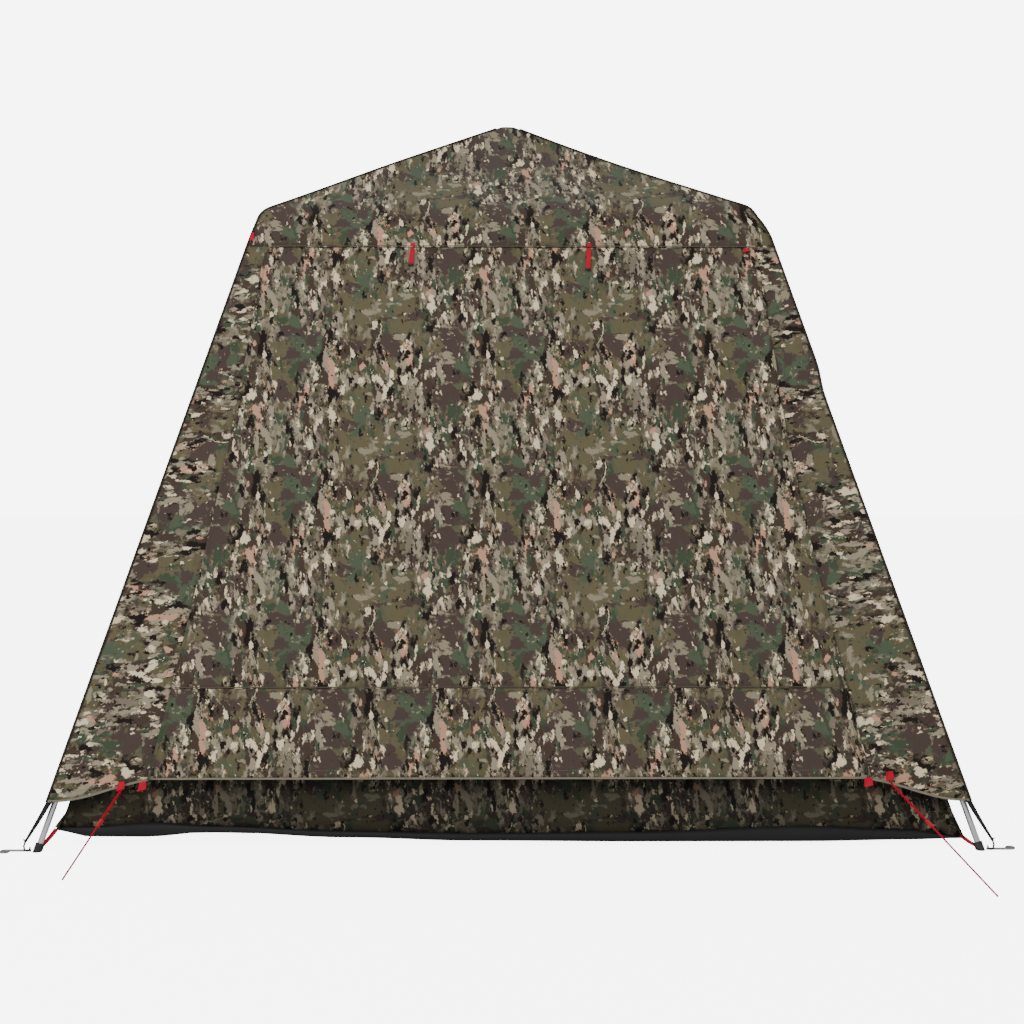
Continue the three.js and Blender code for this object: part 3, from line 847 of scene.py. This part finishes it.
def make_hem_edges():
    for side in SIDES:
        for sign in (-1, 1):
            half = wall_half(0.15)
            start = CREASE_FOOT + 0.012 if side == "front" else 0.0
            places = []
            for k in range(31):
                x = sign * mix(start, half, k / 30)
                z = hem_height(side, x)
                x *= wall_half(z) / half
                places.append((x, z + 0.003))
            end = "right" if sign > 0 else "left"
            wall_ribbon(f"hem_edge_{side}_{end}", places, 0.006, ON_WALL, SEAM_PALE, side=side)
            raised = [(x, z + 0.018) for x, z in places]
            stitches(f"hem_stitches_{side}_{end}", raised, ON_WALL, SEAM_PALE, side=side)


def corner_path(side):
    points = [cover_point(side, 1.0, EAVE_RUN * k / 60, 0.001) for k in range(3, 61)]
    for k in range(1, 51):
        z = mix(EAVE_Z, HEM_CORNER_Z, k / 50)
        points.append(wall_point(side, wall_half(z), z, 0.001))
    return points


def make_corner_bindings():
    for side, corner in zip(SIDES, ("front_right", "back_right", "back_left", "front_left")):
        piece = tube(f"corner_binding_{corner}", corner_path(side), 0.0034, BINDING, 8)
        drop_with_fold(piece)


# ---- Red tapes: tie tabs, guy loops and zip pulls ----
TIE_TABS = (("left", -0.282, 0.054), ("right", 0.234, 0.068))     # name, x and length below the eave
TAB_WIDTH = 0.013
TAB_LEAN = 0.004          # how far a tab's end hangs to the left
GUY_LOOPS = (("left", -1.0225, 0.175), ("right", 1.004, 0.198))   # name, x and z
ZIP_LOOPS = (("left", -0.024, 0.174), ("right", 0.004, 0.182))    # name, x from the pull, and z
SLIDER_Z = 0.195
LOOP_STEPS = 16


def tape_loop(name, centre, width, drop, body, lift, squash=True):
    """A loop of tape on the front, hanging from (x, z): down, round and back up to its seam."""
    x, z = centre
    points = []
    for k in range(LOOP_STEPS + 1):
        share = k / LOOP_STEPS
        turn = math.pi * share
        out = lift + 0.006 * math.sin(turn)
        down = drop * math.sin(turn) ** 0.6
        points.append(wall_point("front", x + (share - 0.5) * 0.006, z - down, out + 0.003 * share))

    def across(k):
        return Vector((1, 0, 0.3))

    def wide(k):
        return width * (0.5 + 0.5 * math.sin(math.pi * k / LOOP_STEPS) ** 0.5)

    piece = ribbon(name, points, across, wide, 0.0014, RED_TAPE)
    if squash:
        return drop_with_fold(piece, body)
    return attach(piece, body)


def make_red_tapes():
    def tab_lift(z):
        return mix(ON_WALL, 0.0085, smooth((EAVE_Z - 0.003 - z) / 0.02))

    for name, x, drop in TIE_TABS:
        sewn = line((x, EAVE_Z + 0.0115), (x, EAVE_Z + 0.0016), 4)
        piece = wall_ribbon(f"tie_tab_end_{name}", sewn, TAB_WIDTH, ON_WALL, RED_TAPE, thickness=0.0006)
        places = line((x, EAVE_Z - 0.003), (x - TAB_LEAN, EAVE_Z - drop), 14)
        piece = wall_ribbon(f"tie_tab_{name}", places, TAB_WIDTH, tab_lift, RED_TAPE, "door")
        toggle = []
        for dx in (-0.008, 0.0, 0.008):
            toggle.append(wall_point("front", x - TAB_LEAN + dx, EAVE_Z - drop - 0.004, 0.010))
        drop_with_fold(tube(f"tie_toggle_{name}", toggle, 0.003, BLACK_NYLON), "door")
    tape_loop("shoulder_loop_left", (-0.752, 1.692), 0.011, 0.026, "ground_set", 0.006)
    tape_loop("shoulder_loop_right", (0.684, EAVE_Z - 0.005), 0.018, 0.012, "door", 0.0015)
    for name, x, z in GUY_LOOPS:
        tape_loop(f"guy_loop_{name}", (x, z), 0.021, 0.021, "ground_set", 0.006)


def make_zip_pulls():
    for name, lean, z in ZIP_LOOPS:
        low, high = (Vector(c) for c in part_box(f"zip_pull_{name}"))
        x = (low.x + high.x) / 2
        slider = []
        for dx, dz, lift in ((0, 0.012, 0.0155), (0, 0.004, 0.0170), (0, -0.006, 0.0155)):
            slider.append(wall_point("front", x + dx, SLIDER_Z + dz, lift))
        body = tube(f"zip_slider_{name}", slider, 0.0045, BLACK_NYLON, 10)
        loop = tape_loop(f"zip_loop_{name}", (x + lean, z), 0.022, 0.021, f"zip_{name}", 0.010, False)
        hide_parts(f"zip_pull_{name}")
        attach(body, f"zip_{name}")


# ================= Inner tent and groundsheet =================
INNER_BOW = 0.012         # how far the middle of an inner wall bows in
INNER_FOLD = 0.007        # the height of its folds
DOORWAY = {"low": 0.22, "high": 1.42, "half_low": 0.52, "half_high": 0.40}
INNER_COLUMNS = 48
JAMB_COLUMNS = 14         # how many of them lie on each side of the doorway


def inner_point(side, x, z, lift=0.0):
    half = wall_half(z, INNER_BASE)
    t = x / half
    seed = 90 + 9.0 * SIDES.index(side)
    edge = smooth((half - abs(x)) / 0.06)
    folds = noise.noise(Vector((x * 9, z * 2.2, seed))) + 0.5 * noise.noise(Vector((x * 21, z * 5, seed + 5)))
    bow = INNER_BOW * math.sin(math.pi * min(z / INNER_TOP_Z, 1)) * max(1 - t * t, 0)
    out = lift + INNER_FOLD * folds * edge * smooth(z / 0.15) * smooth((INNER_TOP_Z - z) / 0.2)
    return TURN[side] @ Vector((x, -(half - bow + out), z))


def make_inner_walls():
    columns, beside = INNER_COLUMNS, JAMB_COLUMNS
    opened = columns - 2 * beside
    low, high = DOORWAY["low"], DOORWAY["high"]
    rows = [0.0, 0.09, 0.12, 0.16] + [mix(low, high, k / 26) for k in range(27)]
    rows += [mix(high, INNER_TOP_Z, k / 6) for k in range(1, 7)]
    vertices, faces, uvs = [], [], []

    def shares(side, z):
        half = wall_half(z, INNER_BASE)
        if side != "front":
            return [half * (2 * k / columns - 1) for k in range(columns + 1)]
        opening = (z - low) / (high - low)
        jamb = mix(DOORWAY["half_low"], DOORWAY["half_high"], min(max(opening, 0), 1))
        left = [mix(-half, -jamb, k / beside) for k in range(beside)]
        middle = [mix(-jamb, jamb, k / opened) for k in range(opened)]
        return left + middle + [mix(jamb, half, k / beside) for k in range(beside + 1)]

    for side in SIDES:
        start = len(vertices)
        lines = [shares(side, z) for z in rows]
        for z, xs in zip(rows, lines):
            for x in xs:
                vertices.append(inner_point(side, x, max(z, rim_edges(side, x)[0] + 0.003)))

        def cloth(i, j, a, b):
            return (lines[j + b][i + a] + 0.2, rows[j + b] * WALL_STRETCH)

        def in_doorway(i, j):
            inside = low - 0.001 <= rows[j] and rows[j + 1] <= high + 0.001
            return side == "front" and inside and beside <= i < beside + opened

        more_faces, more_uvs = woven(
            columns, len(rows) - 1, cloth, ROWS_UP, start=start, left_out=in_doorway,
        )
        faces += more_faces
        uvs += more_uvs
    piece = thicken(add_mesh("inner_tent_walls", vertices, faces, CAMO_INNER_PAINTED_SHADE, uvs), THIN_CLOTH)
    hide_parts(*[f"inner_wall_{side}" for side in SIDES])
    drop_with_fold(piece)

    border = []
    half_low, half_high = DOORWAY["half_low"], DOORWAY["half_high"]
    outline = [(-half_low, low), (half_low, low), (half_high, high), (-half_high, high), (-half_low, low)]
    for (x0, z0), (x1, z1) in zip(outline, outline[1:]):
        border += [inner_point("front", mix(x0, x1, k / 24), mix(z0, z1, k / 24), 0.003) for k in range(24)]
    border.append(border[0].copy())
    drop_with_fold(tube("inner_doorway_zip", border, 0.0035, ZIP_TAPE))


INNER_VENT = 0.015        # the inner roof stops at this share of its width, round the hub


def make_inner_roof():
    rows, per_side = 22, 24
    columns = 4 * per_side
    base = wall_half(INNER_TOP_Z, INNER_BASE)

    def place(i, j):
        side = SIDES[(i // per_side) % 4]
        t = 2 * (i % per_side) / per_side - 1
        share = mix(1, INNER_VENT, j / rows)
        half = base * share
        z = mix(INNER_PEAK_Z, INNER_TOP_Z, share) - 0.03 * math.sin(math.pi * share) * (1.4 - t * t)
        return TURN[side] @ Vector((t * half, -half, z))

    def cloth(i, j, a, b):
        t = 2 * (i % per_side + a) / per_side - 1
        half = base * mix(1, INNER_VENT, (j + b) / rows)
        return (t * half, half)

    vertices = [place(i, j) for j in range(rows + 1) for i in range(columns)]
    faces, uvs = woven(columns, rows, cloth, ROWS_UP, closed=True)
    faces.append([rows * columns + i for i in range(columns)])
    uvs.append([(0, 0)] * columns)
    piece = thicken(add_mesh("inner_roof_cloth", vertices, faces, CAMO_INNER_PAINTED_SHADE, uvs), THIN_CLOTH)
    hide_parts("inner_roof")
    drop_with_fold(piece)


# The groundsheet's turned-up edge on the front: place along it, its lower edge and its upper edge. It hangs
# a little clear of the ground, wide where the cloth is pulled up and narrow where it sags.
FRONT_RIM = [
    (-1.205, 0.050, 0.053), (-1.11, 0.031, 0.056), (-0.96, 0.030, 0.066), (-0.785, 0.043, 0.056),
    (-0.43, 0.027, 0.043), (-0.10, 0.018, 0.037), (0.35, 0.015, 0.040), (0.80, 0.015, 0.054),
    (1.06, 0.019, 0.044), (1.205, 0.023, 0.026),
]


def rim_edges(side, x):
    """The lower and upper edge of the groundsheet's turned-up rim."""
    if side == "front":
        for before, after in zip(FRONT_RIM, FRONT_RIM[1:]):
            if x <= after[0]:
                share = smooth((x - before[0]) / (after[0] - before[0]))
                return mix(before[1], after[1], share), mix(before[2], after[2], share)
        return FRONT_RIM[-1][1:]
    wave = noise.noise(Vector((x * 1.6 + 3.7, 5.0 * SIDES.index(side), 0)))
    corner = smooth((abs(x) / FLOOR_HALF - 0.75) / 0.25)
    ends = {"right": (0.023, 0.040), "back": (0.040, 0.040), "left": (0.040, 0.050)}[side]
    meets = ends[0] if x < 0 else ends[1]
    low = mix(0.024 + 0.008 * wave, meets, corner)
    return low, mix(low + 0.024 + 0.020 * wave, meets + 0.003, corner)


def make_groundsheet():
    count = 60
    step = 2 * FLOOR_HALF / count

    def floor_point(i, j):
        x, y = -FLOOR_HALF + i * step, -FLOOR_HALF + j * step
        inside = smooth((FLOOR_HALF - max(abs(x), abs(y))) / 0.1)
        rise = 0.004 * max(noise.noise(Vector((x * 5, y * 5, 3))), 0) * inside
        edges = {"front": (-y, x), "right": (x, y), "back": (y, -x), "left": (-x, -y)}
        side, (out, along) = max(edges.items(), key=lambda item: item[1][0])
        lifted = smooth((out - FLOOR_HALF + 0.16) / 0.16) * (rim_edges(side, along)[0] - 0.0015)
        return Vector((x, y, 0.0015 + rise + lifted))

    def floor_place(i, j, a, b):
        return ((i + a) * step, (j + b) * step)

    vertices = [floor_point(i, j) for j in range(count + 1) for i in range(count + 1)]
    faces, uvs = woven(count, count, floor_place, ROWS_UP)
    floor = add_mesh("groundsheet", vertices, faces, GROUNDSHEET, uvs)
    vertices, faces, uvs = [], [], []
    for side in SIDES:
        start = len(vertices)
        for i in range(count + 1):
            x = mix(-1, 1, i / count)
            for j in range(5):
                z = mix(*rim_edges(side, x * FLOOR_HALF), j / 4)
                half = wall_half(z, INNER_BASE) + 0.004
                if j == 0:
                    half = FLOOR_HALF
                vertices.append(TURN[side] @ Vector((x * half, -half - 0.004 * math.sin(math.pi * j / 4), z)))

        def rim_place(j, i, a, b):
            return ((i + b) * step, (j + a) * 0.01)

        more_faces, more_uvs = woven(4, count, rim_place, ROWS_DOWN, start=start)
        faces += more_faces
        uvs += more_uvs
    rim = add_mesh("groundsheet_rim", vertices, faces, GROUNDSHEET, uvs)
    piece = thicken(join("groundsheet", [floor, rim]), CLOTH)
    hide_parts("floor_sheet")
    drop_with_fold(piece)


# ================= Corners: straps, hooks and webs =================
# Places are (distance from the middle along the diagonal, height)
STRAP = ((1.712, 0.128), (1.783, 0.030))
STRAP_BAR = (1.781, 0.036)
STRAP_HOOK = ((1.780, 0.034), (1.785, 0.022), (1.783, 0.011), (1.776, 0.007), (1.769, 0.010), (1.768, 0.016))
WEB_START, WEB_END = 1.694, (1.744, 0.008)
WEB_START_Z = {"back_right": 0.043, "back_left": 0.043, "front_left": 0.050, "front_right": 0.028}


def hanging(start, end, dip, count):
    """Places from start to end, with a dip in the middle."""
    places = []
    for k in range(count + 1):
        share = k / count
        z = mix(start[1], end[1], share) - dip * math.sin(math.pi * share)
        places.append((mix(start[0], end[0], share), z))
    return places


def make_corner_fittings():
    for corner, degrees in CORNERS.items():
        turn = Matrix.Rotation(math.radians(degrees), 3, "Z")
        tangent = turn @ Vector((0, 1, 0))

        def place(r, z, side=0.0):
            return turn @ Vector((r, side, z))

        def across(k):
            return tangent

        def taper(k):
            return mix(0.026, 0.010, k / 12)

        points = [place(r, z) for r, z in hanging(*STRAP, 0.002, 12)]
        strap = ribbon(f"elastic_strap_{corner}", points, across, taper, 0.0016, ELASTIC)
        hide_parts(f"corner_strap_{corner}")
        drop_with_fold(strap)
        hook = [place(r, z) for r, z in STRAP_HOOK]
        drop_with_fold(tube(f"strap_hook_{corner}", hook, 0.0026, BLACK_NYLON))
        bar = [place(*STRAP_BAR, -0.009), place(*STRAP_BAR, 0.009)]
        drop_with_fold(tube(f"strap_bar_{corner}", bar, 0.0022, BLACK_NYLON))
        web = [place(r, z) for r, z in hanging((WEB_START, WEB_START_Z[corner]), WEB_END, 0.003, 8)]
        red = ribbon(f"corner_web_{corner}", web, across, 0.020, 0.0016, RED_TAPE)
        drop_with_fold(red)


# ================= Guy lines =================
CORD_RADIUS = 0.0023
STRAND_RADIUS = 0.0013
STRAND_END = 0.36         # the doubled strand is twisted round the cord as far as the runner
GUYS = {
    "left": ((-1.018, -1.222, 0.160), (-1.087, -1.495, 0.005), (-1.088, -1.499, 0.0028)),
    "right": ((1.000, -1.222, 0.178), (1.133, -1.645, 0.005), (1.1344, -1.6495, 0.0032)),
}


def make_guy_lines():
    for name, (start, end, tail) in GUYS.items():
        start, end, tail = Vector(start), Vector(end), Vector(tail)
        points = [start.lerp(end, k / 16) for k in range(17)] + [end.lerp(tail, k / 3) for k in (1, 2, 3)]
        data = bpy.data.curves.new(f"guy_cord_{name}", "CURVE")
        data.dimensions = "3D"
        data.bevel_depth = CORD_RADIUS
        data.bevel_resolution = 3
        spline = data.splines.new("POLY")
        spline.points.add(len(points) - 1)
        for target, point in zip(spline.points, points):
            target.co = (*point, 1)
        data.materials.append(RED_CORD)
        piece = new_object(f"guy_cord_{name}", data)
        ahead = (end - start).normalized()
        side = ahead.orthogonal().normalized()
        up = ahead.cross(side)
        twist = []
        steps, steps_each_turn = 220, 20
        for k in range(steps + 1):
            turn = 2 * math.pi * k / steps_each_turn
            spread = 0.0034 * smooth(k / 12)
            core = start.lerp(end, mix(0.01, STRAND_END, k / steps))
            twist.append(core + side * (spread * math.cos(turn)) + up * (spread * math.sin(turn)))
        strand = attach(tube(f"guy_strand_{name}", twist, STRAND_RADIUS, RED_CORD), "ground_set")
        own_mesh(strand)
        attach(piece, "ground_set")
        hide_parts(f"guy_line_{name}")


# ================= Frame: better materials for the CAD pieces =================
FRAME_FINISHES = {
    "roof_arm": TUBE, "upper_leg": TUBE, "lower_leg": TUBE, "hub_pin": PIN, "elbow_pin": PIN,
    "corner_peg": PEG, "hub_body": BLACK_NYLON, "elbow": BLACK_NYLON, "foot": BLACK_NYLON,
    "guy_runner": RED_NYLON,
}


def finish_frame():
    for name in frame["nodes"]:
        starts = [key for key in FRAME_FINISHES if name.startswith(key)]
        if not starts:
            continue
        node = bpy.data.objects[name]
        for place in node.material_slots:
            place.material = FRAME_FINISHES[max(starts, key=len)]


make_guy_lines()
make_cover()
make_walls()
make_door()
make_fly_seams()
make_hem_edges()
make_corner_bindings()
make_red_tapes()
make_zip_pulls()
make_inner_walls()
make_inner_roof()
make_groundsheet()
make_corner_fittings()
finish_frame()
